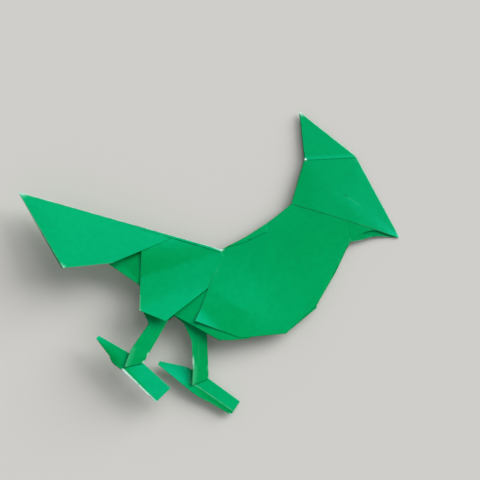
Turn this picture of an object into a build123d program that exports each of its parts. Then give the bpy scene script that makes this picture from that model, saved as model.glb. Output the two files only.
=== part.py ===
# Crested songbird folded from one square sheet of green paper, at real size in millimetres.
#
# The bird is folded flat along a middle plane and lies on its far side, as it comes to rest.
# It is drawn first in that middle plane: x runs from tail to head, y from feet to back, and
# the third number is the height over the plane, towards the viewer. Headings are in degrees,
# counted from x towards y. The saddle, where the tail ridge meets the back, is the start of
# every outline. Creases are straight, and most of them stand at 22.5 or 45 degrees.
# Last, the bird is turned onto the three points that it rests on.

from build123d import *
from math import cos, sin, radians
import os

# The sheet and its stacks of layers
paper = 0.1
panel_layers = 2
inner_layers = 2
leg_layers = 8
panel_thickness = panel_layers * paper
inner_half = inner_layers * paper / 2
leg_thickness = leg_layers * paper

# Tail: a roof of two panels that meet at a straight ridge
tail_ridge = 81.4
tail_heading = 164.4
near_tail_tilt = 16.4
near_tail_edge = 34.9
far_tail_tilt = 9.0
far_tail_edge = 34.0
tail_tip_angle = 45.0
tail_under = 18.7
tail_under_angle = 22.5
tail_tuck = 19.6
ridge_strip = 1.15
spine_half = 0.18

# Thigh flaps: they stand off the body and hide the roots of the legs
thigh_back = 31.0
thigh_crease_drop = 11.1
thigh_bend_drop = 17.9
thigh_drop = 23.7
near_thigh_lean = 0.8
far_thigh_lean = -0.7
thigh_hem = 10.8
thigh_hem_heading = -22.5
thigh_front = 19.5
thigh_front_heading = 37.4
thigh_start_height = 1.5
thigh_crease_height = 2.9
thigh_bend_height = 5.2
thigh_back_height = 9.8
thigh_flare = 8.8
thigh_front_height = 1.7
near_thigh_stand = 0.45
far_thigh_stand = 1.0

# Body panels: back, neck, breast and belly, with a raw edge that stands open at the thigh
back_chord = 32.7
back_heading = 33.0
back_sag = 1.4
neck_width = 22.2
neck_heading = -16.0
neck_tuck = 14.0
throat_drop = 8.9
throat_heading = -78.9
breast_upper = 27.9
breast_upper_heading = -118.0
breast_bow = 0.5
breast_lower = 16.4
breast_lower_heading = -137.9
breast_notch = 1.1
breast_notch_turn = 45.0
raw_edge = 29.6
raw_edge_heading = -110.5
raw_edge_bow = 0.5
raw_edge_height = 2.1
corner_fold = 4.6
corner_fold_height = 2.6
corner_side_out = 11.0
corner_side_height = 2.5
corner_height = 3.3
belly_hem = 18.7
belly_hem_heading = -20.8
belly_hem_height = 2.1
bulge_out = 21.0
bulge_heading = -70.5
bulge_height = 2.4
bulge_end_out = 32.4
bulge_end_heading = -52.3
bulge_end_height = 1.2
closed_height = 0.05

# Inner layer: the folded point that shows under the tail and under the belly
keel_rear_out = 44.3
keel_rear_heading = -172.9
keel_rear = 13.8
keel_rear_slope = -34.6
keel_middle = 18.7
keel_middle_slope = -40.7
keel_front = 20.2
keel_front_slope = -28.9

# Head and crest: a right triangle folded over the neck, its top point crimped back
head_base = 44.3
head_base_heading = -16.4
beak_angle = 45.0
crown = 35.9
head_nape = 18.6
crest_turn = 23.6
crest_edge = 28.0
crest_lap = 0.9
head_half = 0.75
crown_half = 0.45
dart_along = 20.0
dart_out = 10.0
dart_half = 1.1
crest_half = 0.98
crest_front_half = 0.59
tip_half = 0.3
chin_back = 8.2
chin_back_heading = 12.8
chin_front = 3.2
chin_front_heading = 7.1
chin_half = 0.2

# Legs: narrow strips with one lengthwise crease, spread a little at the ankle
leg_crease = 1.6
hock_flare = 0.9
leg_ridge = 0.7
leg_spread = 4.6
root_depth = 9.0

# Feet: a blunt heel that widens to the ankle, then a square-ended toe on one straight sole
foot_length = 33.8
heel_end = 1.6
ankle_back = 15.6
ankle_front = 19.5
ankle_rise = 6.8
sole_return = 4.5
sole_step = 0.7
toe_lift = 0.9

# Where each foot stands: its heel tip from the saddle, and the headings of sole and leg
near_heel_out = 59.4
near_heel_heading = -144.6
near_sole_heading = -46.9
near_leg_heading = 60.0
near_leg_width = 5.2
near_root_drop = 16.3
near_flare_start = 14.4
near_flare_end = 16.8
near_flare = 4.5
near_heel_back = 11.0
near_heel_rise = 5.0
near_sole_bulge_back = 11.5
near_sole_bulge = 2.3
near_toe_width = 8.0
near_sole_ridge = 0.7
near_root_height = -0.5
near_foot_height = -2.6
far_heel_out = 50.9
far_heel_heading = -118.6
far_sole_heading = -34.7
far_leg_heading = 92.8
far_leg_width = 5.2
far_root_drop = 21.2
far_flare_start = 13.7
far_flare_end = 22.3
far_flare = 4.7
far_heel_back = 9.3
far_heel_rise = 5.5
far_sole_bulge_back = 19.5
far_sole_bulge = 1.7
far_toe_width = 6.4
far_sole_ridge = 1.8
far_root_height = -0.8
far_foot_height = -7.2


def ahead(start, length, heading, height=None):
    """Point at a length and heading from start, at its own height if one is given."""
    level = start[2] if height is None else height
    return (
        start[0] + length * cos(radians(heading)),
        start[1] + length * sin(radians(heading)),
        level,
    )


def at_height(point, height):
    """The same place in the plane at another height."""
    return (point[0], point[1], height)


def between(first, second, share, bow=0.0):
    """Point part of the way along a line, moved off it by the bow of a shallow arc."""
    line = Vector(*second) - Vector(*first)
    side = Vector(-line.Y, line.X, 0).normalized()
    point = Vector(*first) + line * share + side * (bow * 4 * share * (1 - share))
    return tuple(point)


def polygon(corners):
    return Face(Wire.make_polygon(corners, close=True))


def folded_stack(facets, under):
    """Closed solid from facets that share their creases; under gives the lower height."""
    faces = []
    borders = {}
    for facet in facets:
        for second, third in zip(facet[1:], facet[2:]):
            triangle = (facet[0], second, third)
            faces.append(polygon(triangle))
            faces.append(polygon([at_height(corner, under(corner)) for corner in triangle]))
            for first, last in zip(triangle, triangle[1:] + triangle[:1]):
                border = frozenset((first, last))
                borders[border] = None if border in borders else (first, last)
    for ends in borders.values():
        if ends is not None:
            first, last = ends
            low_last = at_height(last, under(last))
            low_first = at_height(first, under(first))
            faces.append(polygon([first, last, low_last, low_first]))
    return Solid(Shell(faces))


def panel(facets, thickness):
    """A folded panel whose facets give its inner face; its layers lie outside them."""
    raised = [[at_height(p, p[2] + thickness) for p in facet] for facet in facets]
    return folded_stack(raised, lambda corner: corner[2] - thickness)


def closed_stack(facets):
    """Layers pressed together, as deep on the far side of the middle plane as on the near."""
    return folded_stack(facets, lambda corner: -corner[2])


def flat_layer(outline, half):
    """A flat layer in the middle plane."""
    flat = polygon([at_height(corner, -half) for corner in outline])
    return Solid.extrude(flat, Vector(0, 0, 2 * half))


saddle = (0.0, 0.0, 0.0)

# Tail

tail_tip = ahead(saddle, tail_ridge, tail_heading)


def on_tail(along, out, tilt):
    """Point of a tail panel, along the ridge from the tip and out from the ridge."""
    start = ahead(tail_tip, along, tail_heading - 180)
    return ahead(start, out * cos(radians(tilt)), tail_heading + 90, out * sin(radians(tilt)))


def tail_side(tilt, edge):
    """One panel of the tail: a 45 degree tip, an edge turned under, and the tuck at the thigh."""
    corner_along = edge * cos(radians(tail_tip_angle))
    corner_out = edge * sin(radians(tail_tip_angle))
    under_along = corner_along + tail_under * cos(radians(tail_under_angle))
    under_out = corner_out - tail_under * sin(radians(tail_under_angle))
    tuck = on_tail(tail_ridge - tail_tuck, ridge_strip, tilt)
    front = on_tail(tail_ridge, ridge_strip, tilt)
    corner = on_tail(corner_along, corner_out, tilt)
    under = on_tail(under_along, under_out, tilt)
    facets = [
        [tail_tip, corner, under, tuck],
        [tail_tip, tuck, front],
        [tail_tip, front, saddle],
    ]
    return panel(facets, panel_thickness)


spine_start = ridge_strip / sin(radians(tail_tip_angle))
ridge_fold = at_height(on_tail(tail_ridge - tail_tuck, ridge_strip, 0), 0.0)
tail_spine = flat_layer(
    [tail_tip, on_tail(spine_start, ridge_strip, 0), on_tail(tail_ridge, ridge_strip, 0), saddle],
    spine_half,
)

# Thigh flaps


def thigh_points(lean, stand):
    """Rear edge of a thigh flap from top to bottom, then its lower corner and its notch.

    Stand is how far the flap is lifted off the body, as a share of the full heights.
    """

    def on_rear(drop, height):
        return (-thigh_back - lean * drop / thigh_drop, -drop, height)

    top = on_rear(0.0, thigh_start_height)
    crease = on_rear(thigh_crease_drop, thigh_crease_height * stand)
    bend = on_rear(thigh_bend_drop, thigh_bend_height * stand)
    rear = on_rear(thigh_drop, thigh_back_height * stand)
    corner = ahead(rear, thigh_hem, thigh_hem_heading, thigh_flare * stand)
    notch = ahead(corner, thigh_front, thigh_front_heading, thigh_front_height)
    return top, crease, bend, rear, corner, notch


def thigh_side(lean, stand):
    """One thigh flap, with a soft crease across it and a bend above its hem."""
    top, crease, bend, rear, corner, notch = thigh_points(lean, stand)
    facets = [
        [saddle, ridge_fold, top, crease],
        [saddle, crease, notch],
        [notch, crease, bend],
        [notch, bend, rear, corner],
    ]
    return panel(facets, panel_thickness)


# Body panels

nape = ahead(saddle, back_chord, back_heading, closed_height)
back_low = between(saddle, nape, 1 / 3, -back_sag)
back_high = between(saddle, nape, 2 / 3, -back_sag)
neck_front = ahead(nape, neck_width, neck_heading)
throat = ahead(neck_front, throat_drop, throat_heading)
breast = ahead(throat, breast_upper, breast_upper_heading)
breast_middle = between(throat, breast, 0.5, breast_bow)
belly = ahead(breast, breast_lower, breast_lower_heading)
belly_corner = ahead(saddle, raw_edge, raw_edge_heading, corner_height)
raw_middle = at_height(between(saddle, belly_corner, 0.5, raw_edge_bow), raw_edge_height)
corner_top = ahead(belly_corner, corner_fold, raw_edge_heading + 180, corner_fold_height)
corner_side = ahead(belly_corner, corner_side_out, belly_hem_heading, corner_side_height)
hem_end = ahead(belly_corner, belly_hem, belly_hem_heading, belly_hem_height)
bulge = ahead(saddle, bulge_out, bulge_heading, bulge_height)
bulge_end = ahead(saddle, bulge_end_out, bulge_end_heading, bulge_end_height)
body_panel = panel(
    [
        [saddle, raw_middle, bulge],
        [raw_middle, corner_top, bulge],
        [corner_top, corner_side, bulge],
        [corner_top, belly_corner, corner_side],
        [corner_side, hem_end, bulge],
        [hem_end, bulge_end, bulge],
        [hem_end, belly, bulge_end],
        [belly, breast, bulge_end],
        [breast, breast_middle, bulge_end],
        [saddle, bulge, back_low],
        [back_low, bulge, bulge_end],
        [back_low, bulge_end, back_high],
        [back_high, bulge_end, breast_middle],
        [back_high, breast_middle, nape],
        [nape, breast_middle, throat, neck_front],
    ],
    panel_thickness,
)

# Inner layer

keel_tail = ahead(saddle, keel_rear_out, keel_rear_heading)
keel_step = ahead(keel_tail, keel_rear, keel_rear_slope)
keel_thigh = ahead(keel_step, keel_middle, keel_middle_slope)
keel_belly = ahead(keel_thigh, keel_front, keel_front_slope)
neck_top = ahead(between(nape, neck_front, 0.5), neck_tuck, neck_heading + 90)
breast_step = ahead(breast, breast_notch, breast_lower_heading + breast_notch_turn)
inner_layer = flat_layer(
    [
        saddle,
        ridge_fold,
        keel_tail,
        keel_step,
        keel_thigh,
        keel_belly,
        belly,
        breast_step,
        breast,
        breast_middle,
        throat,
        neck_front,
        neck_top,
        nape,
        back_high,
        back_low,
    ],
    inner_half,
)

# Head and crest

beak = ahead(nape, head_base, head_base_heading, tip_half)
crown_heading = head_base_heading + 180 - beak_angle
crown_top = ahead(beak, crown, crown_heading, crown_half)
head_back = at_height(nape, head_half)
nape_top = ahead(head_back, head_nape, head_base_heading + 90)
dart = ahead(ahead(head_back, dart_along, head_base_heading), dart_out, head_base_heading + 90, dart_half)
head = closed_stack(
    [
        [head_back, beak, dart],
        [beak, crown_top, dart],
        [crown_top, nape_top, dart],
        [nape_top, head_back, dart],
    ]
)
crest_tip = ahead(crown_top, crest_edge, crown_heading + crest_turn, tip_half)
crest_rear = at_height(nape_top, crest_half)
crest_front = at_height(crown_top, crest_front_half)
lap_rear = ahead(crest_rear, crest_lap, head_base_heading - 90)
lap_front = ahead(crest_front, crest_lap, head_base_heading - 90)
crest = closed_stack([[crest_tip, crest_rear, lap_rear, lap_front, crest_front]])
chin_low = ahead(at_height(throat, 0.0), chin_back, chin_back_heading)
chin_rise = ahead(chin_low, chin_front, chin_front_heading)
chin = flat_layer([neck_front, throat, chin_low, chin_rise, beak], chin_half)

# Legs and feet


def foot_point(heel, heading, along, up, height):
    """Point of a foot, along its sole from the heel tip and up from the sole."""
    return ahead(ahead(heel, along, heading), up, heading + 90, height)


def foot(heel, heading, hump, bulge, toe_width, ridge, height):
    """Heel and toe on one sole line; ridge is how far the lengthwise crease is up from it."""
    low = height
    middle = height + toe_lift / 2
    high = height + toe_lift
    sole_heel = foot_point(heel, heading, 0, 0, low)
    heel_top = foot_point(heel, heading, 0, heel_end, middle)
    heel_hump = foot_point(heel, heading, hump[0], hump[1], middle)
    sole_bulge = foot_point(heel, heading, bulge[0], -bulge[1], low)
    ankle_ridge = foot_point(heel, heading, ankle_back, ridge, high)
    ankle_top = foot_point(heel, heading, ankle_front, ankle_rise, middle)
    toe_top = foot_point(heel, heading, foot_length, toe_width, middle)
    toe_ridge = foot_point(heel, heading, foot_length, ridge, high)
    toe_sole = foot_point(heel, heading, foot_length, 0, low)
    toe_root = foot_point(heel, heading, bulge[0] + sole_return, -sole_step, low)
    return panel(
        [
            [sole_heel, sole_bulge, ankle_ridge],
            [sole_heel, ankle_ridge, heel_hump, heel_top],
            [heel_hump, ankle_ridge, ankle_top],
            [sole_bulge, toe_root, ankle_ridge],
            [toe_root, toe_sole, toe_ridge, ankle_ridge],
            [ankle_ridge, toe_ridge, toe_top, ankle_top],
        ],
        leg_thickness,
    )


def leg(heel, sole_heading, heading, root_drop, width, flare, ridge, foot_height, root_height):
    """Strip from the ankle line of a foot up to its root, hidden between the thigh flaps.

    It has one lengthwise crease. Its rear edge flares: flare holds where that starts and ends
    along the leg, and how far out it goes.
    """
    lap = foot_height + leg_thickness / 2
    ankle_low = foot_point(heel, sole_heading, ankle_back, ridge / 2, lap)
    ankle_high = foot_point(heel, sole_heading, ankle_front, ankle_rise, lap)
    ankle_crease = between(ankle_low, ankle_high, leg_crease / width)
    ankle_crease = at_height(ankle_crease, lap + leg_ridge)
    hidden_length = (-root_drop - ankle_high[1]) / sin(radians(heading))
    length = hidden_length - root_depth

    def on_leg(along, across, lift):
        share = min(along / length, 1)
        level = lap + (root_height - lap) * share + lift
        start = ahead(at_height(ankle_high, level), width - across, heading + 90)
        return ahead(start, along, heading)

    section = [(0.0, 0.0), (leg_crease, leg_ridge), (width, 0.0)]
    hock = [on_leg(leg_spread, across, lift) for across, lift in section]
    hock[0] = on_leg(leg_spread, -hock_flare, 0.0)
    shank = [on_leg(flare[0], across, lift) for across, lift in section]
    root = [on_leg(flare[1], across, lift) for across, lift in section]
    root[0] = on_leg(flare[1], -flare[2], 0.0)
    hidden = [on_leg(hidden_length, across, lift) for across, lift in section]
    rows = [[ankle_low, ankle_crease, ankle_high], hock, shank, root, hidden]
    strips = []
    for lower, upper in zip(rows, rows[1:]):
        strips.append([lower[0], lower[1], upper[1], upper[0]])
        strips.append([lower[1], lower[2], upper[2], upper[1]])
    return panel(strips, leg_thickness)


near_heel = ahead(saddle, near_heel_out, near_heel_heading)
far_heel = ahead(saddle, far_heel_out, far_heel_heading)
near_foot = foot(
    near_heel,
    near_sole_heading,
    (near_heel_back, near_heel_rise),
    (near_sole_bulge_back, near_sole_bulge),
    near_toe_width,
    near_sole_ridge,
    near_foot_height,
)
far_foot = foot(
    far_heel,
    far_sole_heading,
    (far_heel_back, far_heel_rise),
    (far_sole_bulge_back, far_sole_bulge),
    far_toe_width,
    far_sole_ridge,
    far_foot_height,
)
near_leg = leg(
    near_heel,
    near_sole_heading,
    near_leg_heading,
    near_root_drop,
    near_leg_width,
    (near_flare_start, near_flare_end, near_flare),
    near_sole_ridge,
    near_foot_height,
    near_root_height,
)
far_leg = leg(
    far_heel,
    far_sole_heading,
    far_leg_heading,
    far_root_drop,
    far_leg_width,
    (far_flare_start, far_flare_end, far_flare),
    far_sole_ridge,
    far_foot_height,
    far_root_height,
)

# One sheet, so one solid

near_tail = tail_side(near_tail_tilt, near_tail_edge)
far_tail = tail_side(far_tail_tilt, far_tail_edge)
near_thigh = thigh_side(near_thigh_lean, near_thigh_stand)
far_thigh = thigh_side(far_thigh_lean, far_thigh_stand)
near_panels = [near_tail, near_thigh, body_panel]
far_panels = [side.mirror(Plane.XY) for side in (far_tail, far_thigh, body_panel)]
bird = tail_spine.fuse(
    *near_panels, *far_panels, inner_layer, head, crest, chin, near_leg, near_foot, far_leg, far_foot
).clean()

# It lies on the crown, the beak tip and the rear corner of the far thigh flap

crown_rest = Vector(crest_front[0], crest_front[1], -crest_front[2])
beak_rest = Vector(beak[0], beak[1], -beak[2])
thigh_rear = thigh_points(far_thigh_lean, far_thigh_stand)[3]
thigh_rest = Vector(thigh_rear[0], thigh_rear[1], -thigh_rear[2] - panel_thickness)
upward = (thigh_rest - beak_rest).cross(crown_rest - beak_rest).normalized()
if upward.Z < 0:
    upward = -upward
rest = Plane(origin=crown_rest, x_dir=Vector(1, 0, -upward.X / upward.Z), z_dir=upward)
bird = rest.to_local_coords(bird)
box = bird.bounding_box()
bird = bird.moved(Location((-box.center().X, -box.center().Y, -box.min.Z)))

os.makedirs("parts", exist_ok=True)
export_step(bird, "parts/folded_sheet.step")
print("solids", len(bird.solids()), "valid", bird.is_valid)
print("size", bird.bounding_box().size)
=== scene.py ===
"""A crested songbird folded from one square of green origami paper, lying on its side.

The folds are drawn in millimetres in the bird's middle plane: x from tail to head, y from feet
to back, and the third number is the height over that plane, towards the viewer. The saddle,
where the tail ridge meets the back, is the origin of the drawing. Each piece is then laid down
with the whole bird, on the crown, the beak and the far thigh flap.
"""

from math import cos, radians, sin

import bmesh
import bpy
from mathutils import Matrix, Vector, noise


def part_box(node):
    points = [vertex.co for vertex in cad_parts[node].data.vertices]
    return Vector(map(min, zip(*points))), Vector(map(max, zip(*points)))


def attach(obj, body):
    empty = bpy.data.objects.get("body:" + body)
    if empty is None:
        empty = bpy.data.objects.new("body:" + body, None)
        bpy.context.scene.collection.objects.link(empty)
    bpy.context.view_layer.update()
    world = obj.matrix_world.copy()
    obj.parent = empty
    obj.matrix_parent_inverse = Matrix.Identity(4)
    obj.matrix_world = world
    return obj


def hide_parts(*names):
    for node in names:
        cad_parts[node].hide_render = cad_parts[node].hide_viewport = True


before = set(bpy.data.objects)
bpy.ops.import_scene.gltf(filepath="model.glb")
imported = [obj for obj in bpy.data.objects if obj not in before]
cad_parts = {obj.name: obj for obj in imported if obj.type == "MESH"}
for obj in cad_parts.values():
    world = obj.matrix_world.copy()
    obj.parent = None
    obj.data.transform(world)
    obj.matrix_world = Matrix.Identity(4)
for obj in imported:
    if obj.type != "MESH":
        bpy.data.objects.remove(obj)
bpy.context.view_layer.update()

# Tail: two long panels of doubled paper that meet at a ridge like a roof. Each bulges a little
# below a flat strip along the ridge, and ends under the thigh flap. The paper functions here
# also serve the other pieces, since the whole bird is one sheet.

SADDLE = (0.0, 0.0, 0.0)
RIDGE_LENGTH = 81.4
RIDGE_HEADING = 164.4
RIDGE_STRIP = 1.15
# The strip has its full width at this many widths from the tail tip
STRIP_START = 2.4
TAIL_TUCK = 19.6
# Run and rise of the lower edge, from its corner to where it goes in under the thigh flap
TAIL_LOWER_EDGE = (17.28, 7.16)
TAIL_BULGE = 0.35

# The paper: its thickness, the widths of a pressed fold and of a pale edge line (rubbed dye or
# painted highlight), and its slight waves
PAPER_THICKNESS = 0.09
FOLD_WIDTH = 0.22
EDGE_WIDTH = 0.24
WAVE_HEIGHT = 0.1
WAVES_PER_MM = 0.045
WAVE_SHIFT = 2.9
# Steps in which a bowed panel is made smooth, and how sharp a bend stays beside a fold's 1.0
BOW_LEVELS = 4
BEND_CREASE = 0.75
# How much of its white core a raw edge shows, and how near such an edge lies to its line
RAW_WHITE = 0.3
RAW_REACH = 0.3

# The bird rests on three points, and the tips of its crest and tail give its place on the table
CROWN_REST = (52.74, 36.82, -0.59)
BEAK_REST = (69.92, 5.3, -0.3)
THIGH_REST = (-30.3, -23.7, -10.0)
CREST_TIP = (30.61, 53.98, 0.3)


def ahead(start, length, heading, height=None):
    """Point at a length and a heading from start, at its own height if one is given."""
    turn = radians(heading)
    level = start[2] if height is None else height
    return (start[0] + length * cos(turn), start[1] + length * sin(turn), level)


TAIL_TIP = ahead(SADDLE, RIDGE_LENGTH, RIDGE_HEADING)


def rest_matrix():
    """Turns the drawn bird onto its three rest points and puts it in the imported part's box."""
    crown, beak, thigh = Vector(CROWN_REST), Vector(BEAK_REST), Vector(THIGH_REST)
    up = (thigh - beak).cross(crown - beak).normalized()
    if up.z < 0:
        up.negate()
    along = Vector((1, 0, -up.x / up.z)).normalized()
    turn = Matrix((along, up.cross(along), up))
    low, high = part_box("folded_sheet")
    tail, crest = turn @ Vector(TAIL_TIP), turn @ Vector(CREST_TIP)
    shift = Vector((low.x * 1000 - tail.x, high.y * 1000 - crest.y, -(turn @ beak).z))
    return Matrix.Scale(0.001, 4) @ Matrix.Translation(shift) @ turn.to_4x4()


LAID = rest_matrix()


def distance_to(point, line):
    """Distance in the middle plane from a point to a straight line between two ends."""
    x, y = point[0], point[1]
    (ax, ay), (bx, by) = line[0][:2], line[1][:2]
    run, rise = bx - ax, by - ay
    share = ((x - ax) * run + (y - ay) * rise) / (run * run + rise * rise)
    share = min(1.0, max(0.0, share))
    return ((x - ax - share * run) ** 2 + (y - ay - share * rise) ** 2) ** 0.5


def near_line(point, lines, reach=0.02):
    """Tells whether a point lies on one of the lines, as seen from above."""
    return any(distance_to(point, line) < reach for line in lines)


def corner_key(point):
    """Corner of a facet, rounded so that facets with a common corner are joined there."""
    return tuple(round(c, 4) for c in point)


def smoothed_mesh(name, layer):
    """Facets as a mesh with straight folds, rounded bends and softly bowed paper between them."""
    folds, bends = layer.get("folds", ()), layer.get("bends", ())
    soft = {corner_key(point) for point in layer.get("soft", ())}
    places, faces, uses = {}, [], {}
    for facet in layer["facets"]:
        faces.append([places.setdefault(corner_key(point), len(places)) for point in facet])
    for face in faces:
        for ends in zip(face, face[1:] + face[:1]):
            uses[frozenset(ends)] = uses.get(frozenset(ends), 0) + 1
    points = list(places)
    cage = bpy.data.meshes.new(name)
    cage.from_pydata(points, [], faces)
    creases = cage.attributes.new("crease_edge", "FLOAT", "EDGE")
    rim = set()
    for edge in cage.edges:
        first, last = edge.vertices
        middle = [(a + b) / 2 for a, b in zip(points[first], points[last])]
        border = uses[frozenset(edge.vertices)] == 1
        if border:
            rim.update(edge.vertices)
        bent = BEND_CREASE if near_line(middle, bends) else 0.0
        creases.data[edge.index].value = 1.0 if border or near_line(middle, folds) else bent
    corners = cage.attributes.new("crease_vert", "FLOAT", "POINT")
    for index, point in enumerate(points):
        corners.data[index].value = 1.0 if index in rim and point not in soft else 0.0
    shape = bpy.data.objects.new(name, cage)
    bpy.context.scene.collection.objects.link(shape)
    rounding = shape.modifiers.new("bow", "SUBSURF")
    rounding.levels = rounding.render_levels = layer.get("levels", BOW_LEVELS)
    rounding.boundary_smooth = "ALL"
    bpy.context.view_layer.update()
    evaluated = shape.evaluated_get(bpy.context.evaluated_depsgraph_get())
    smooth = bpy.data.meshes.new_from_object(evaluated)
    bpy.data.objects.remove(shape)
    bpy.data.meshes.remove(cage)
    return smooth


def press_folds(bm, folds):
    """Rounds the straight folds over the width that pressed paper turns in."""
    pressed = [
        edge
        for edge in bm.edges
        if not edge.is_boundary and all(near_line(vertex.co, folds) for vertex in edge.verts)
    ]
    bmesh.ops.bevel(bm, geom=pressed, offset=FOLD_WIDTH, segments=2, profile=0.5, affect="EDGES")


def wave_paper(bm, side):
    """Lifts the sheet in slight waves about 20 mm long, with others on the bird's far side."""
    for vertex in bm.verts:
        place = vertex.co * WAVES_PER_MM
        vertex.co.z += WAVE_HEIGHT * noise.noise(Vector((place.x, place.y, side * WAVE_SHIFT)))


def wear_and_light_at(point, wear_and_light_lines):
    """Paleness at a point, from rubbed dye and from painted highlights: a line has two ends, an
    amount and perhaps a width.
    """
    strength = 0.0
    for first, last, amount, *width in wear_and_light_lines:
        share = distance_to(point, (first, last)) / (width[0] if width else EDGE_WIDTH)
        strength = max(strength, amount * (1 - share))
    return strength


def add_thickness(joined, bm, layer):
    """Adds a layer's upper and lower side, and the wall that closes it along its edge."""
    side, thickness = layer.get("side", 1), layer["thickness"]
    wear_and_light_lines, raw = layer.get("wear_and_light_lines", ()), layer.get("raw", ())
    wear_and_light_key = joined.verts.layers.float["wear_and_light_lines"]
    core_key = joined.faces.layers.float["core"]
    top, bottom = {}, {}
    for vertex in bm.verts:
        x, y, z = vertex.co
        top[vertex] = joined.verts.new((x, y, side * (z + thickness)))
        bottom[vertex] = joined.verts.new((x, y, side * z))
        # The upper side carries the paleness of rubbed dye and of painted highlights
        top[vertex][wear_and_light_key] = wear_and_light_at(vertex.co, wear_and_light_lines)
    for face in bm.faces:
        upper = [top[v] for v in face.verts]
        lower = [bottom[v] for v in reversed(face.verts)]
        for corners in (upper, lower):
            made = joined.faces.new(corners if side > 0 else corners[::-1])
            made.smooth = True
    for edge in bm.edges:
        if edge.is_boundary:
            loop = edge.link_loops[0]
            first, last = loop.vert, loop.link_loop_next.vert
            corners = [top[last], top[first], bottom[first], bottom[last]]
            made = joined.faces.new(corners if side > 0 else corners[::-1])
            made.smooth = False
            middle = (first.co + last.co) / 2
            made[core_key] = RAW_WHITE if near_line(middle, raw, RAW_REACH) else 0.0


def folded_paper(name, layers, material):
    """One piece from layers of paper, each with its facets, thickness, folds, and lines of rubbed
    dye and painted highlight.
    """
    joined = bmesh.new()
    joined.faces.layers.float.new("core")
    joined.verts.layers.float.new("wear_and_light_lines")
    for layer in layers:
        smooth = smoothed_mesh(name, layer)
        bm = bmesh.new()
        bm.from_mesh(smooth)
        bpy.data.meshes.remove(smooth)
        if "folds" in layer:
            press_folds(bm, layer["folds"])
        rim = layer.get("rim", EDGE_WIDTH)
        bmesh.ops.inset_region(bm, faces=bm.faces[:], thickness=rim, use_boundary=True)
        wave_paper(bm, layer.get("side", 1))
        add_thickness(joined, bm, layer)
        bm.free()
    joined.transform(LAID)
    mesh = bpy.data.meshes.new(name)
    joined.to_mesh(mesh)
    joined.free()
    piece = bpy.data.objects.new(name, mesh)
    bpy.context.scene.collection.objects.link(piece)
    mesh.materials.append(material)
    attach(piece, "root")
    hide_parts("folded_sheet")
    return piece


def linear(code):
    """sRGB hex colour as the linear values that a shader takes."""
    parts = [int(code[i : i + 2], 16) / 255 for i in (1, 3, 5)]
    parts = [c / 12.92 if c <= 0.04045 else ((c + 0.055) / 1.055) ** 2.4 for c in parts]
    return (*parts, 1.0)


def add_node(tree, kind, inputs=None, **settings):
    """Adds a node; an input is a value, or the output socket of another node."""
    node = tree.nodes.new(kind)
    for key, value in settings.items():
        setattr(node, key, value)
    for key, value in (inputs or {}).items():
        if isinstance(value, bpy.types.NodeSocket):
            tree.links.new(value, node.inputs[key])
        else:
            node.inputs[key].default_value = value
    return node


PAPER_GREEN = "#009B3E"
PAPER_LIGHT = "#00A649"
# Mint and near-white, for rubbed dye and for painted highlights along lit edges and folds
RUBBED_OR_LIT_GREEN = "#3FDDA0"
RUBBED_OR_LIT_WHITE = "#E6FFF6"
CORE_WHITE = "#E2F5EA"
FLOC_MM = 2.222
DRIFT_MM = 28.57
RUN_MM = 1.538

# Dyed origami paper, calendered smooth: a saturated green coat on a white core. The eye sees a
# soft even sheen, faint fibre mottling, and white where a fold has rubbed the dye away. Pale lines
# along lit edges and folds are also painted on, as painted highlights. In a colour mix, input 0 is
# the share, inputs 6 and 7 are the two colours and output 2 is the mix.
dyed_paper = bpy.data.materials.new("dyed_origami_paper")
dyed_paper.use_nodes = True
tree = dyed_paper.node_tree
tree.nodes.clear()
place = add_node(tree, "ShaderNodeTexCoord").outputs["Object"]
# Fibre flocs of about 2 mm, drawn coarser than real ones so that they show
flocs = add_node(
    tree,
    "ShaderNodeTexNoise",
    {"Vector": place, "Scale": 1000 / FLOC_MM, "Detail": 4.0, "Roughness": 0.5},
)
# Slow drift of the dye over about 30 mm
drift = add_node(
    tree, "ShaderNodeTexNoise", {"Vector": place, "Scale": 1000 / DRIFT_MM, "Detail": 2.0}
)
blend = add_node(
    tree,
    "ShaderNodeMath",
    {0: flocs.outputs["Fac"], 1: drift.outputs["Fac"]},
    operation="ADD",
)
tint = add_node(
    tree,
    "ShaderNodeMapRange",
    {"Value": blend.outputs[0], "From Min": 0.7, "From Max": 1.3, "To Min": 0.0, "To Max": 1.0},
)
dye = add_node(
    tree,
    "ShaderNodeMix",
    {0: tint.outputs[0], 6: linear(PAPER_GREEN), 7: linear(PAPER_LIGHT)},
    data_type="RGBA",
)
# Rubbed dye and painted highlights, broken into short runs of about 1.5 mm along the folds
broken_runs = add_node(
    tree, "ShaderNodeTexNoise", {"Vector": place, "Scale": 1000 / RUN_MM, "Detail": 2.0}
)
run_strength = add_node(
    tree,
    "ShaderNodeMapRange",
    {"Value": broken_runs.outputs["Fac"], "From Min": 0.3, "From Max": 0.6, "To Min": 0.55, "To Max": 1.0},
)
wear_and_light_lines = add_node(tree, "ShaderNodeAttribute", attribute_name="wear_and_light_lines")
rubbed_or_lit = add_node(
    tree,
    "ShaderNodeMath",
    {0: wear_and_light_lines.outputs["Fac"], 1: run_strength.outputs[0]},
    operation="MULTIPLY",
    use_clamp=True,
)
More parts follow.
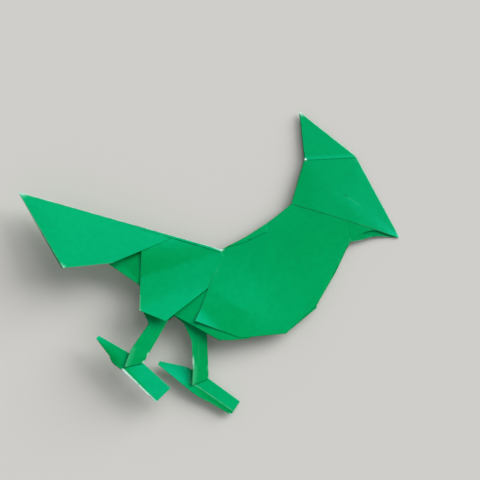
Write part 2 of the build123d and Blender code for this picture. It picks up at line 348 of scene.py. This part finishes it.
# A light amount thins the green to mint and a strong one reaches the white core; both serve for
# rubbed dye and for painted highlights on lit edges
rubbed_or_lit_colour = add_node(
    tree,
    "ShaderNodeMix",
    {0: rubbed_or_lit.outputs[0], 6: linear(RUBBED_OR_LIT_GREEN), 7: linear(RUBBED_OR_LIT_WHITE)},
    data_type="RGBA",
)
pale = add_node(
    tree,
    "ShaderNodeMix",
    {0: rubbed_or_lit.outputs[0], 6: dye.outputs[2], 7: rubbed_or_lit_colour.outputs[2]},
    data_type="RGBA",
)
core = add_node(tree, "ShaderNodeAttribute", attribute_name="core")
edge = add_node(
    tree,
    "ShaderNodeMix",
    {0: core.outputs["Fac"], 6: pale.outputs[2], 7: linear(CORE_WHITE)},
    data_type="RGBA",
)
fibres = add_node(
    tree,
    "ShaderNodeBump",
    {"Height": flocs.outputs["Fac"], "Strength": 0.1, "Distance": 0.00006},
)
# The sheen of the pressed coat is tinted, so that bright facets keep the full colour of the dye
shader = add_node(
    tree,
    "ShaderNodeBsdfPrincipled",
    {
        "Base Color": edge.outputs[2],
        "Roughness": 0.5,
        "IOR": 1.45,
        "Specular IOR Level": 1.0,
        "Specular Tint": (0.0, 0.75, 1.0, 1.0),
        "Normal": fibres.outputs[0],
    },
)
add_node(tree, "ShaderNodeOutputMaterial", {"Surface": shader.outputs[0]})


def on_tail(along, out, tilt, lift=0.0):
    """Point of a tail panel, along the ridge from the tip and out from the ridge."""
    start = ahead(TAIL_TIP, along, RIDGE_HEADING - 180)
    turn = radians(tilt)
    return ahead(start, out * cos(turn), RIDGE_HEADING + 90, out * sin(turn) + lift)


def tail_layer(side, tilt, edge_length):
    """Panel on one side of the ridge; its rear edge leaves the tip at 45 degrees."""
    half = edge_length * cos(radians(45))
    tip_inner = on_tail(RIDGE_STRIP * STRIP_START, RIDGE_STRIP, tilt)
    corner = on_tail(half, half, tilt)
    under = on_tail(half + TAIL_LOWER_EDGE[0], half - TAIL_LOWER_EDGE[1], tilt)
    tuck = on_tail(RIDGE_LENGTH - TAIL_TUCK, RIDGE_STRIP, tilt)
    front = on_tail(RIDGE_LENGTH, RIDGE_STRIP, tilt)
    middle = on_tail(half + 2, half * 0.5, tilt, TAIL_BULGE)
    return {
        "facets": [
            [TAIL_TIP, corner, middle],
            [corner, under, middle],
            [under, tuck, middle],
            [tuck, tip_inner, middle],
            [tip_inner, TAIL_TIP, middle],
            [TAIL_TIP, tip_inner, tuck],
            [TAIL_TIP, tuck, front],
            [TAIL_TIP, front, SADDLE],
        ],
        "thickness": PAPER_THICKNESS,
        "side": side,
        "folds": [(tip_inner, tuck), (tuck, front)],
        # Pale lines on the ridge and on the raw rear and lower edges are partly white core and
        # partly painted highlight; the three dots are rubbed white
        "wear_and_light_lines": [
            (TAIL_TIP, SADDLE, 1.15),
            (TAIL_TIP, corner, 0.95),
            (corner, under, 0.6),
            (TAIL_TIP, ahead(TAIL_TIP, 0.3, RIDGE_HEADING - 200), 1.0, 0.5),
            (SADDLE, ahead(SADDLE, 0.8, RIDGE_HEADING), 1.8, 0.8),
            (corner, ahead(corner, 0.3, RIDGE_HEADING - 90), 0.9, 0.6),
        ],
    }


tail = folded_paper("tail", [tail_layer(1, 16.4, 34.9), tail_layer(-1, 9.0, 34.0)], dyed_paper)

# Thigh flaps: a corner of the sheet on each side, folded down behind the saddle. It stands off
# the body like an open cover, with raw edges, and hides the root of the leg.

RIDGE_FOLD = on_tail(RIDGE_LENGTH - TAIL_TUCK, RIDGE_STRIP, 0)
THIGH_EDGE = -31.0
# Length and heading of the flap's short lower edge and of its long front edge
THIGH_LOWER = (10.8, -22.5)
THIGH_FRONT = (21.5, 37.4)
# How far its top goes in under the tail's flat strip, and the height of that top
TUCKED_IN = 0.2
ROOT_HEIGHT = 0.22


def thigh_layer(side, lean, heights):
    """Flap on one side; lean is how far its rear edge slants back on the way down."""
    front = (*on_tail(RIDGE_LENGTH, RIDGE_STRIP - TUCKED_IN, 0)[:2], ROOT_HEIGHT)
    fold = (*on_tail(RIDGE_LENGTH - TAIL_TUCK, RIDGE_STRIP - TUCKED_IN, 0)[:2], ROOT_HEIGHT)
    top = (THIGH_EDGE, 0.2, heights["top"])
    hidden = (1.4, -3.0, 0.35)
    crease = (THIGH_EDGE - lean * 0.47, -11.1, heights["crease"])
    bend = (THIGH_EDGE - lean * 0.75, -17.9, heights["bend"])
    rear = (THIGH_EDGE - lean, -23.7, heights["rear"])
    corner = ahead(rear, *THIGH_LOWER, heights["corner"])
    notch = ahead(corner, *THIGH_FRONT, heights["notch"])
    middle = (-20.0, -17.5, heights["middle"])
    return {
        "facets": [
            [front, fold, top, crease],
            [front, crease, middle],
            [front, middle, notch, hidden],
            [middle, crease, bend],
            [middle, bend, rear],
            [middle, rear, corner],
            [notch, middle, corner],
        ],
        "thickness": PAPER_THICKNESS,
        "side": side,
        "bends": [(front, crease)],
        "raw": [(rear, corner), (corner, notch), (top, rear)],
        "wear_and_light_lines": [
            (top, rear, 0.2),
            (bend, rear, 1.0, 0.3),
            (rear, corner, 0.15),
        ],
    }


near_heights = {
    "top": 2.25,
    "crease": 0.5,
    "bend": 2.8,
    "rear": 5.4,
    "corner": 5.8,
    "notch": 1.5,
    "middle": 3.05,
}
far_heights = {
    "top": 1.0,
    "crease": 2.9,
    "bend": 5.2,
    "rear": 9.8,
    "corner": 8.8,
    "notch": 1.7,
    "middle": 3.6,
}
thighs = folded_paper(
    "thigh_flaps",
    [thigh_layer(1, 0.8, near_heights), thigh_layer(-1, -0.7, far_heights)],
    dyed_paper,
)

# Body: a bulged panel on each side from the saddle to the neck, the breast and the belly. Its
# raw edge stands open at the thigh, and the corner of that edge is curled outwards.

NAPE = (27.42, 17.81, 0.38)
NECK_FRONT = (48.76, 11.69, 1.46)
THROAT = (50.47, 2.96, 0.85)
BREAST = (37.39, -21.66, 0.5)
BREAST_MIDDLE = (44.31, -9.13, 0.5)
BELLY = (25.22, -32.65, 1.25)
BELLY_CORNER = (-10.37, -27.73, 3.6)
HEM_END = (7.12, -34.37, 1.9)
BACK_LOW = (9.82, 4.89, 0.05)
BACK_HIGH = (18.96, 10.83, 0.1)
STRIP_THICKNESS = 0.08


def body_layer(side):
    """Panel on one side, with its raw edge, curled corner, belly hem and breast fold."""
    raw_middle = (-4.71, -14.04, 1.6)
    corner_top = (-8.3, -23.42, 2.25)
    corner_side = (0.2, -31.63, 2.2)
    terrace = (3.0, -20.5, 2.4)
    terrace_end = (12.5, -26.0, 2.05)
    slope_top = (9.0, -6.5, 0.85)
    slope_middle = (16.0, -15.0, 0.85)
    slope_end = (21.0, -26.0, 0.85)
    shoulder = (16.5, -1.5, 0.6)
    chest = (31.0, -8.0, 0.3)
    breast_inner = (31.5, -20.5, 0.55)
    throat_inner = (42.0, 0.0, 0.9)
    neck_middle = (38.0, 10.0, 1.3)
    nape_in = (28.0, 18.9, 0.35)
    under_head = (38.5, 16.2, 1.45)
    neck_in = (49.2, 13.0, 1.38)
    breast = (36.5, -21.3, 0.9)
    breast_middle = (43.4, -8.8, 0.9)
    return {
        "facets": [
            [SADDLE, raw_middle, slope_top],
            [raw_middle, terrace, slope_middle, slope_top],
            [raw_middle, corner_top, terrace],
            [corner_top, corner_side, terrace],
            [corner_top, BELLY_CORNER, corner_side],
            [corner_side, HEM_END, terrace_end, terrace],
            [terrace, terrace_end, slope_middle],
            [terrace_end, slope_end, slope_middle],
            [HEM_END, BELLY, slope_end, terrace_end],
            [BELLY, breast, breast_inner, slope_end],
            [slope_end, breast_inner, chest, slope_middle],
            [slope_middle, chest, shoulder, slope_top],
            [SADDLE, slope_top, shoulder, BACK_LOW],
            [BACK_LOW, shoulder, BACK_HIGH],
            [breast, breast_middle, chest, breast_inner],
            [breast_middle, THROAT, throat_inner, chest],
            [shoulder, chest, throat_inner, neck_middle],
            [BACK_HIGH, shoulder, neck_middle, NAPE],
            [NAPE, neck_middle, under_head, nape_in],
            [under_head, neck_middle, NECK_FRONT, neck_in],
            [neck_middle, throat_inner, THROAT, NECK_FRONT],
            [BELLY, BREAST, breast],
            [BREAST, BREAST_MIDDLE, breast_middle, breast],
            [BREAST_MIDDLE, THROAT, breast_middle],
        ],
        "thickness": PAPER_THICKNESS,
        "side": side,
        "soft": [BACK_LOW, BACK_HIGH, BREAST_MIDDLE, raw_middle, under_head],
        "folds": [(breast, breast_middle), (breast_middle, THROAT)],
        "bends": [(raw_middle, terrace), (terrace, terrace_end), (slope_top, slope_middle)],
        "raw": [(SADDLE, raw_middle), (raw_middle, BELLY_CORNER), (BELLY_CORNER, HEM_END)],
        # Pale lines on the curled corner, the raw edge and the breast fold are partly white core
        # and partly painted highlight; the faint broad band below the saddle is a painted
        # highlight only, and the dot at the saddle is rubbed white
        "wear_and_light_lines": [
            (BELLY_CORNER, corner_side, 0.3),
            (BELLY_CORNER, corner_top, 0.3),
            (SADDLE, raw_middle, 0.2),
            (SADDLE, ahead(SADDLE, 0.7, 40), 1.8, 0.8),
            (ahead(SADDLE, 1.5, -100), ahead(SADDLE, 9.0, -106), 0.1, 1.8),
            (raw_middle, corner_top, 0.2),
            (THROAT, BREAST_MIDDLE, 0.2),
            (BREAST_MIDDLE, BREAST, 0.2),
        ],
    }


def back_strip(side):
    """Edge of the sheet folded over along the back, ending in a step below the neck."""
    inner = [(9.4, 2.75, 0.35), (12.2, 4.1, 0.43), (14.5, 5.4, 0.47), (16.1, 6.05, 0.5)]
    step = [(18.1, 6.9, 0.52), (18.2, 8.6, 0.35), (17.1, 9.85, 0.2)]
    back = (*BACK_LOW[:2], 0.15)
    return {
        "facets": [
            [(0.4, 0.1, 0.15), inner[0], back],
            [back, inner[0], inner[1], inner[2]],
            [back, inner[2], step[1], step[2]],
            [inner[2], inner[3], step[0], step[1]],
        ],
        "thickness": STRIP_THICKNESS,
        "side": side,
        "levels": 2,
        "soft": [back, *inner, *step],
    }


body = folded_paper(
    "body_panels",
    [body_layer(1), body_layer(-1), back_strip(1), back_strip(-1)],
    dyed_paper,
)

# Inner point: the flat doubled layer between the panels, which runs up into the head. Two of its
# own folds show: a dark triangle under the tail, and a step under the belly.

keel_tail = ahead(SADDLE, 44.3, -172.9)
keel_step = ahead(keel_tail, 13.8, -34.6)
keel_thigh = ahead(keel_step, 18.7, -40.7)
keel_belly = ahead(keel_thigh, 20.2, -28.9)
keel_corner = (*keel_tail[:2], -0.4)
keel_middle = (-29.8, -15.6, 0.0)
keel_under_thigh = (-29.5, 1.2, 1.6)
inner_breast = (37.34, -22.76, 0.0)
inner_chest = (44.9, -8.8, 0.0)
inner_head = (41.95, 28.21, 0.0)
inner_outline = [
    SADDLE,
    RIDGE_FOLD,
    keel_tail,
    keel_step,
    keel_thigh,
    keel_belly,
    BELLY,
    inner_breast,
    BREAST,
    inner_chest,
    THROAT,
    NECK_FRONT,
    inner_head,
    NAPE,
    BACK_HIGH,
    BACK_LOW,
]
INNER_THICKNESS = 0.2
# The flat layer lies evenly about the bird's middle plane
inner_layer = {
    "facets": [[(*point[:2], -INNER_THICKNESS / 2) for point in inner_outline]],
    "thickness": INNER_THICKNESS,
    "levels": 0,
}
keel_layer = {
    "facets": [
        [keel_corner, (*keel_step[:2], -0.3), keel_middle, keel_under_thigh],
        [keel_under_thigh, (*RIDGE_FOLD[:2], 0.1), keel_corner],
    ],
    "thickness": PAPER_THICKNESS,
    "levels": 2,
}
fold_top = (-4.0, -14.5, 1.4)
fold_rear = (-18.46, -25.5, 1.1)
fold_thigh = (-12.2, -20.4, 1.1)
fold_middle = (-7.2, -23.5, 2.05)
fold_corner = (-9.8, -30.2, 2.25)
fold_belly = (0.0, -26.0, 2.05)
fold_edge = (-0.8, -35.1, 1.8)
fold_front = (12.0, -31.0, 1.8)
fold_hem = (4.0, -35.2, 1.8)
fold_notch = (-4.3, -33.3, 1.85)
fold_end = (11.0, -34.6, 1.5)
belly_fold = {
    "facets": [
        [fold_top, fold_thigh, fold_middle],
        [fold_thigh, fold_corner, fold_middle],
        [fold_middle, fold_corner, fold_belly],
        [fold_top, fold_middle, fold_belly],
        [fold_thigh, fold_rear, fold_corner],
        [fold_corner, fold_notch, fold_edge, fold_belly],
        [fold_edge, fold_hem, fold_front, fold_belly],
        [fold_hem, fold_end, fold_front],
    ],
    "thickness": PAPER_THICKNESS,
    "levels": 2,
}
inner_point = folded_paper("inner_point", [inner_layer, belly_fold, keel_layer], dyed_paper)

# Head: the top of the sheet folded over the neck as a right triangle, from the nape to the beak.
# Its lower edge lies on the body panel, and a short dart is pressed into the cheek.

BEAK = (*BEAK_REST[:2], 0.15)
CROWN = (53.1, 36.15, 0.38)
NAPE_TOP = (32.45, 34.9, 1.19)
HEAD_BACK = (*NAPE[:2], 0.5)
HEAD_THICKNESS = 0.04


def head_layer(side):
    """Side of the head, from its lower edge up to the crown, with the dart in its cheek."""
    dart_top = (44.2, 23.8, 0.95)
    dart_end = (54.8, 17.0, 1.0)
    cheek = (48.2, 21.2, 1.2)
    jaw = (49.0, 14.5, 1.7)
    left = (37.5, 24.5, 1.0)
    edge_middle = (38.1, 14.65, 1.62)
    lip = ahead(HEAD_BACK, 27.0, -16.4, 1.5)
    beak_low = (66.4, 5.8, 0.93)
    beak_end = (69.7, 4.6, 0.4)
    return {
        "facets": [
            [HEAD_BACK, left, NAPE_TOP],
            [HEAD_BACK, edge_middle, left],
            [edge_middle, lip, jaw, left],
            [left, jaw, cheek, dart_top],
            [NAPE_TOP, left, dart_top],
            [NAPE_TOP, dart_top, CROWN],
            [CROWN, dart_top, cheek, dart_end],
            [jaw, dart_end, cheek],
            [lip, beak_low, dart_end, jaw],
            [beak_low, beak_end, BEAK, dart_end],
            [BEAK, CROWN, dart_end],
        ],
        "thickness": HEAD_THICKNESS,
        "side": side,
        "soft": [edge_middle, lip, beak_low],
        "folds": [(dart_top, cheek), (cheek, dart_end)],
        # The pale lines on the front and back edges are partly white core and partly painted
        # highlight, and the beak tip is rubbed white; the faint lines on the dart and along the
        # lower edge are painted highlights
        "wear_and_light_lines": [
            (BEAK, CROWN, 0.9),
            (HEAD_BACK, NAPE_TOP, 0.3),
            (BEAK, ahead(BEAK, 0.6, 118), 1.1, 0.8),
            (cheek, dart_end, 0.1, 0.45),
            (HEAD_BACK, lip, 0.22),
            (lip, beak_low, 0.4),
        ],
    }


head = folded_paper("head", [head_layer(1), head_layer(-1)], dyed_paper)

# Crest: the top point of the head triangle, crimped back at the crown. The narrow band at its
# foot is pressed onto the head.

CREST_THICKNESS = 0.06


def crest_layer(side):
    """Side of the crest: its triangle, and the band below, split where it shows its white core."""
    band_rear = (32.5, 36.3, 0.85)
    band_front = (52.2, 37.2, 0.12)
    rear = (32.4, 34.75, 1.21)
    front = (53.0, 36.0, 0.43)
    band_split = (33.4, 36.34, 0.81)
    split = (33.3, 34.8, 1.18)
    return {
        "facets": [
            [CREST_TIP, band_rear, band_split],
            [CREST_TIP, band_split, band_front],
            [band_rear, rear, split, band_split],
            [band_split, split, front, band_front],
        ],
        "thickness": CREST_THICKNESS,
        "side": side,
        "bends": [(band_rear, band_split), (band_split, band_front)],
        # The pale lines on the crest's edges are partly white core and partly painted highlight;
        # the dots at its tip and at the band's rear are rubbed white
        "wear_and_light_lines": [
            (CREST_TIP, band_front, 0.9),
            (CREST_TIP, band_rear, 0.3),
            (CREST_TIP, ahead(CREST_TIP, 0.3, -60), 1.8, 0.5),
            (ahead(rear, 0.3, 80), ahead(rear, 0.6, 40), 2.4, 0.8),
        ],
    }


crest = folded_paper("crest", [crest_layer(1), crest_layer(-1)], dyed_paper)

# Chin: the folded edge of the neck that runs out below the beak. It is shaded by the open edge
# of the head, and behind its lip is a small hollow, closed by a flat layer.

chin_edge = [
    (*THROAT[:2], 0.75),
    (55.0, 3.8, 0.8),
    (58.5, 4.85, 0.75),
    (61.65, 5.25, 0.6),
    (65.6, 5.05, 0.3),
]
mouth = [(55.0, 6.1, 1.1), (56.9, 5.6, 0.9), (59.3, 5.6, 0.8), (62.4, 5.65, 0.65)]
lip_line = [(56.9, 7.15, 1.12), (58.9, 7.6, 1.05), (61.3, 7.5, 0.92), (64.0, 6.5, 0.75)]
under_lip = [(57.5, 9.6, 1.25), (59.5, 9.2, 1.1), (61.5, 8.6, 0.97), (64.3, 7.4, 0.78)]
neck_end = [(49.6, 13.4, 1.42), (*NECK_FRONT[:2], 1.38)]
chin_facets = [
    [*neck_end, mouth[0], lip_line[0], under_lip[0]],
    [under_lip[0], lip_line[0], lip_line[1], under_lip[1]],
    [under_lip[1], lip_line[1], lip_line[2], under_lip[2]],
    [under_lip[2], lip_line[2], lip_line[3], under_lip[3]],
    [neck_end[1], chin_edge[0], chin_edge[1], mouth[0]],
    [chin_edge[1], chin_edge[2], mouth[1], mouth[0]],
    [chin_edge[2], chin_edge[3], mouth[2], mouth[1]],
    [chin_edge[3], chin_edge[4], mouth[3], mouth[2]],
]
hollow_outline = [
    (52.0, 9.5, 0.3),
    (53.0, 4.2, 0.0),
    (62.0, 5.35, 0.0),
    (69.3, 4.8, -0.1),
    (69.0, 6.5, 0.1),
]
chin = folded_paper(
    "chin",
    [
        {
            "facets": chin_facets,
            "thickness": PAPER_THICKNESS,
            "levels": 2,
            "rim": 0.2,
            "soft": [mouth[1], mouth[2], *lip_line[:3]],
            # The pale line on the lower edge is partly white core and partly painted highlight
            "wear_and_light_lines": [(p, q, 0.8, 0.2) for p, q in zip(chin_edge, chin_edge[1:])],
        },
        {"facets": [hollow_outline], "thickness": PAPER_THICKNESS, "levels": 0},
    ],
    dyed_paper,
)

# Legs and feet: two thin points of the sheet, pleated to narrow strips many layers thick. Each
# has one lengthwise crease and is bent at the ankle into a blunt heel and a square-ended toe.
# Their roots are hidden under the thigh flaps and the body.

LEG_THICKNESS = 0.8
LEG_WIDTH = 5.2
LEG_CREASE = 1.6
ANKLE_DROP = 1.4
ANKLE_ALONG = 15.6
ANKLE_TOP = (19.5, 6.8)
HEEL_END = 1.6
SOLE_BACK = 8.5
# Where the toe's sole begins, from the bulge under the ankle and from the line of the sole
TOE_START = (4.5, -0.7)


def foot_point(heel, heading, along, up, height):
    """Point of a foot, along its sole from the heel tip and up from the sole."""
    return ahead(ahead(heel, along, heading), up, heading + 90, height)


def foot_layer(heel, heading, hump, bulge, toe, ridge, height, lifts, wear_and_light, sole_wear):
    """Foot with a crease along its toe; lifts are heights of its points over the foot's own."""

    def point(name, along, up):
        return foot_point(heel, heading, along, up, height + lifts.get(name, 0.0))

    sole_heel = point("sole_heel", 0, 0)
    heel_top = point("heel_top", 0, HEEL_END)
    heel_hump = point("heel_hump", *hump)
    sole_back = point("sole_back", SOLE_BACK, -bulge[1] * 0.35)
    sole_bulge = point("sole_bulge", bulge[0], -bulge[1])
    ankle_ridge = point("ankle_ridge", ANKLE_ALONG, ridge)
    ankle_top = point("ankle_top", *ANKLE_TOP)
    toe_root = point("toe_root", bulge[0] + TOE_START[0], TOE_START[1])
    toe_sole = point("toe_sole", toe[0], 0)
    toe_ridge = point("toe_ridge", toe[0], ridge)
    toe_top = point("toe_top", *toe)
    return {
        "facets": [
            [sole_heel, sole_back, ankle_ridge, heel_hump, heel_top],
            [sole_back, sole_bulge, ankle_ridge],
            [heel_hump, ankle_ridge, ankle_top],
            [sole_bulge, toe_root, ankle_ridge],
            [toe_root, toe_sole, toe_ridge, ankle_ridge],
            [ankle_ridge, toe_ridge, toe_top, ankle_top],
        ],
        "thickness": LEG_THICKNESS,
        "levels": 3,
        "soft": [sole_bulge, toe_root],
        "folds": [(ankle_ridge, toe_ridge)],
        "raw": [(toe_top, toe_sole), (sole_heel, heel_top)],
        # The lines along the toe's crease and up the heel are painted highlights with some rubbed
        # dye; the pale sole, heel and toe edges and the dots are rubbed white core
        "wear_and_light_lines": [
            (ankle_ridge, toe_ridge, wear_and_light),
            (heel_hump, ankle_ridge, wear_and_light * 0.8, 0.5),
            (ahead(ankle_ridge, 1.0, heading + 180), ankle_ridge, wear_and_light * 1.6, 0.8),
            (toe_root, toe_sole, sole_wear, 0.8),
            (sole_bulge, toe_root, 0.3),
            (toe_sole, ahead(toe_sole, 0.4, heading + 180), 1.8, 0.8),
            (heel_top, heel_hump, 0.6),
            (sole_heel, heel_top, 0.6),
            (toe_top, toe_sole, 0.3),
            (ankle_top, toe_top, 0.3),
        ],
    }


def leg_layer(heel, sole_heading, heading, ridge, ankle, rows, bows, wear_and_light, bend_wear):
    """Strip up from the ankle. A row has its place along the leg, its height, the width added
    at its rear edge and its bow, which is a share of the three heights in bows."""
    ankle_low = foot_point(heel, sole_heading, ANKLE_ALONG, ridge / 2, ankle)
    ankle_high = foot_point(heel, sole_heading, *ANKLE_TOP, ankle - ANKLE_DROP)
    share = LEG_CREASE / LEG_WIDTH
    ankle_crease = tuple(a + (b - a) * share for a, b in zip(ankle_low, ankle_high))
    lines = [[ankle_low, ankle_crease, ankle_high]]
    for along, height, extra, bow in rows:
        outs = (LEG_WIDTH + extra, LEG_WIDTH - LEG_CREASE, 0.0)
        points = []
        for out, lift in zip(outs, bows):
            side = ahead(ankle_high, out, heading + 90, height + lift * bow)
            points.append(ahead(side, along, heading))
        lines.append(points)
    facets, crease = [], []
    for lower, upper in zip(lines, lines[1:]):
        facets.append([lower[0], lower[1], upper[1], upper[0]])
        facets.append([lower[1], lower[2], upper[2], upper[1]])
        crease.append((lower[1], upper[1]))
    hock, shank = lines[1], lines[2]
    return {
        "facets": facets,
        "thickness": LEG_THICKNESS,
        "levels": 3,
        "folds": crease,
        # The broad pale patch above the ankle and the lines along the rear edge and the crease are
        # painted highlights; the dots at the ankle bend are rubbed white core
        "wear_and_light_lines": [
            (ankle_low, hock[0], 0.3, 2.4),
            (hock[1], shank[1], wear_and_light * 0.3),
            (ahead(ankle_high, 3.8, heading), ahead(ankle_high, 4.6, heading), bend_wear, 0.7),
            (ankle_high, ahead(ankle_high, 0.6, heading), bend_wear, 0.7),
            (ahead(hock[0], 0.5, heading), ahead(hock[0], 3.5, heading), wear_and_light * 2.6, 0.9),
            (hock[0], shank[0], wear_and_light),
        ],
    }


NEAR_HEEL = ahead(SADDLE, 59.4, -144.6)
NEAR_SOLE = -46.9
NEAR_RIDGE = 0.7
near_foot = foot_layer(
    NEAR_HEEL,
    NEAR_SOLE,
    hump=(11.0, 5.0),
    bulge=(11.5, 2.3),
    toe=(33.8, 8.0),
    ridge=NEAR_RIDGE,
    height=-0.8,
    lifts={
        "sole_heel": 1.2,
        "heel_top": 0.5,
        "heel_hump": 0.85,
        "sole_back": 0.4,
        "ankle_ridge": 1.4,
        "toe_root": 1.5,
        "toe_sole": 1.9,
        "toe_ridge": 1.95,
    },
    wear_and_light=0.0,
    sole_wear=1.8,
)
near_strip = leg_layer(
    NEAR_HEEL,
    NEAR_SOLE,
    heading=60.0,
    ridge=NEAR_RIDGE,
    ankle=1.4,
    rows=[
        (2.2, 0.4, 1.7, 1.0),
        (14.4, 0.2, 0.6, 1.0),
        (16.8, 0.4, 4.5, 0.6),
        (24.0, 0.2, 0.5, 0.3),
    ],
    bows=(0.95, 0.5, 0.0),
    wear_and_light=0.0,
    bend_wear=1.3,
)
near_leg = folded_paper("near_leg", [near_foot, near_strip], dyed_paper)

FAR_HEEL = ahead(SADDLE, 50.9, -118.6)
FAR_SOLE = -34.7
FAR_RIDGE = 1.8
far_foot = foot_layer(
    FAR_HEEL,
    FAR_SOLE,
    hump=(9.3, 5.5),
    bulge=(19.5, 1.7),
    toe=(34.8, 6.4),
    ridge=FAR_RIDGE,
    height=-6.3,
    lifts={
        "sole_heel": 1.3,
        "heel_top": 0.1,
        "heel_hump": -0.3,
        "sole_back": 1.7,
        "sole_bulge": 0.6,
        "ankle_ridge": 0.6,
        "toe_root": 0.3,
        "toe_sole": 0.25,
        "toe_ridge": 0.7,
    },
    wear_and_light=0.45,
    sole_wear=0.2,
)
far_strip = leg_layer(
    FAR_HEEL,
    FAR_SOLE,
    heading=92.8,
    ridge=FAR_RIDGE,
    ankle=-4.2,
    rows=[
        (4.6, -4.3, 0.9, 1.0),
        (15.0, -2.7, 1.0, 1.0),
        (21.7, -1.1, 3.6, 0.4),
        (29.0, -0.1, 11.7, 0.0),
    ],
    bows=(1.2, 0.4, -0.4),
    wear_and_light=0.45,
    bend_wear=0.5,
)
far_leg = folded_paper("far_leg", [far_foot, far_strip], dyed_paper)

# Floor: a table top of plain pale matt board. The bird lies on it, and it isn't part of the
# bird.

REACH = 3.0
corners = [(-REACH, -REACH, 0), (REACH, -REACH, 0), (REACH, REACH, 0), (-REACH, REACH, 0)]
floor_mesh = bpy.data.meshes.new("floor")
floor_mesh.from_pydata(corners, [], [(0, 1, 2, 3)])
floor = bpy.data.objects.new("floor", floor_mesh)
bpy.context.scene.collection.objects.link(floor)
table_top = bpy.data.materials.new("pale_matt_board")
table_top.use_nodes = True
tree = table_top.node_tree
tree.nodes.clear()
board = add_node(
    tree, "ShaderNodeBsdfPrincipled", {"Base Color": linear("#DCDAD6"), "Roughness": 0.9}
)
add_node(tree, "ShaderNodeOutputMaterial", {"Surface": board.outputs[0]})
floor_mesh.materials.append(table_top)

# Light and camera: a soft lamp low on the right, which picks out the facets, a weaker one higher
# up behind the back, and an even white room. The camera looks straight down on the bird.


def soft_sun(name, energy, spread, toward):
    """Far lamp in the direction toward; its spread in degrees softens the shadows."""
    data = bpy.data.lights.new(name, "SUN")
    data.energy = energy
    data.angle = radians(spread)
    lamp = bpy.data.objects.new(name, data)
    lamp.rotation_euler = (-Vector(toward)).to_track_quat("-Z", "Y").to_euler()
    bpy.context.scene.collection.objects.link(lamp)


soft_sun("key", energy=2.25, spread=40, toward=(0.735, 0.465, 0.5))
soft_sun("window", energy=0.8, spread=35, toward=(0.302, 0.568, 0.766))
world = bpy.data.worlds.new("soft_room")
world.use_nodes = True
room = world.node_tree.nodes["Background"]
room.inputs["Color"].default_value = (1, 1, 1, 1)
room.inputs["Strength"].default_value = 0.32
bpy.context.scene.world = world

# From this height, the picture is 188 mm wide on the table
CAMERA_HEIGHT = 0.7
PICTURE_MIDDLE = (0.01155, 0.00881)
camera_data = bpy.data.cameras.new("camera")
camera_data.lens = 133.9
camera_data.sensor_width = 36
camera_data.clip_start = 0.01
camera = bpy.data.objects.new("camera", camera_data)
camera.location = (*PICTURE_MIDDLE, CAMERA_HEIGHT)
bpy.context.scene.collection.objects.link(camera)
bpy.context.scene.camera = camera
bpy.context.scene.view_settings.view_transform = "Standard"
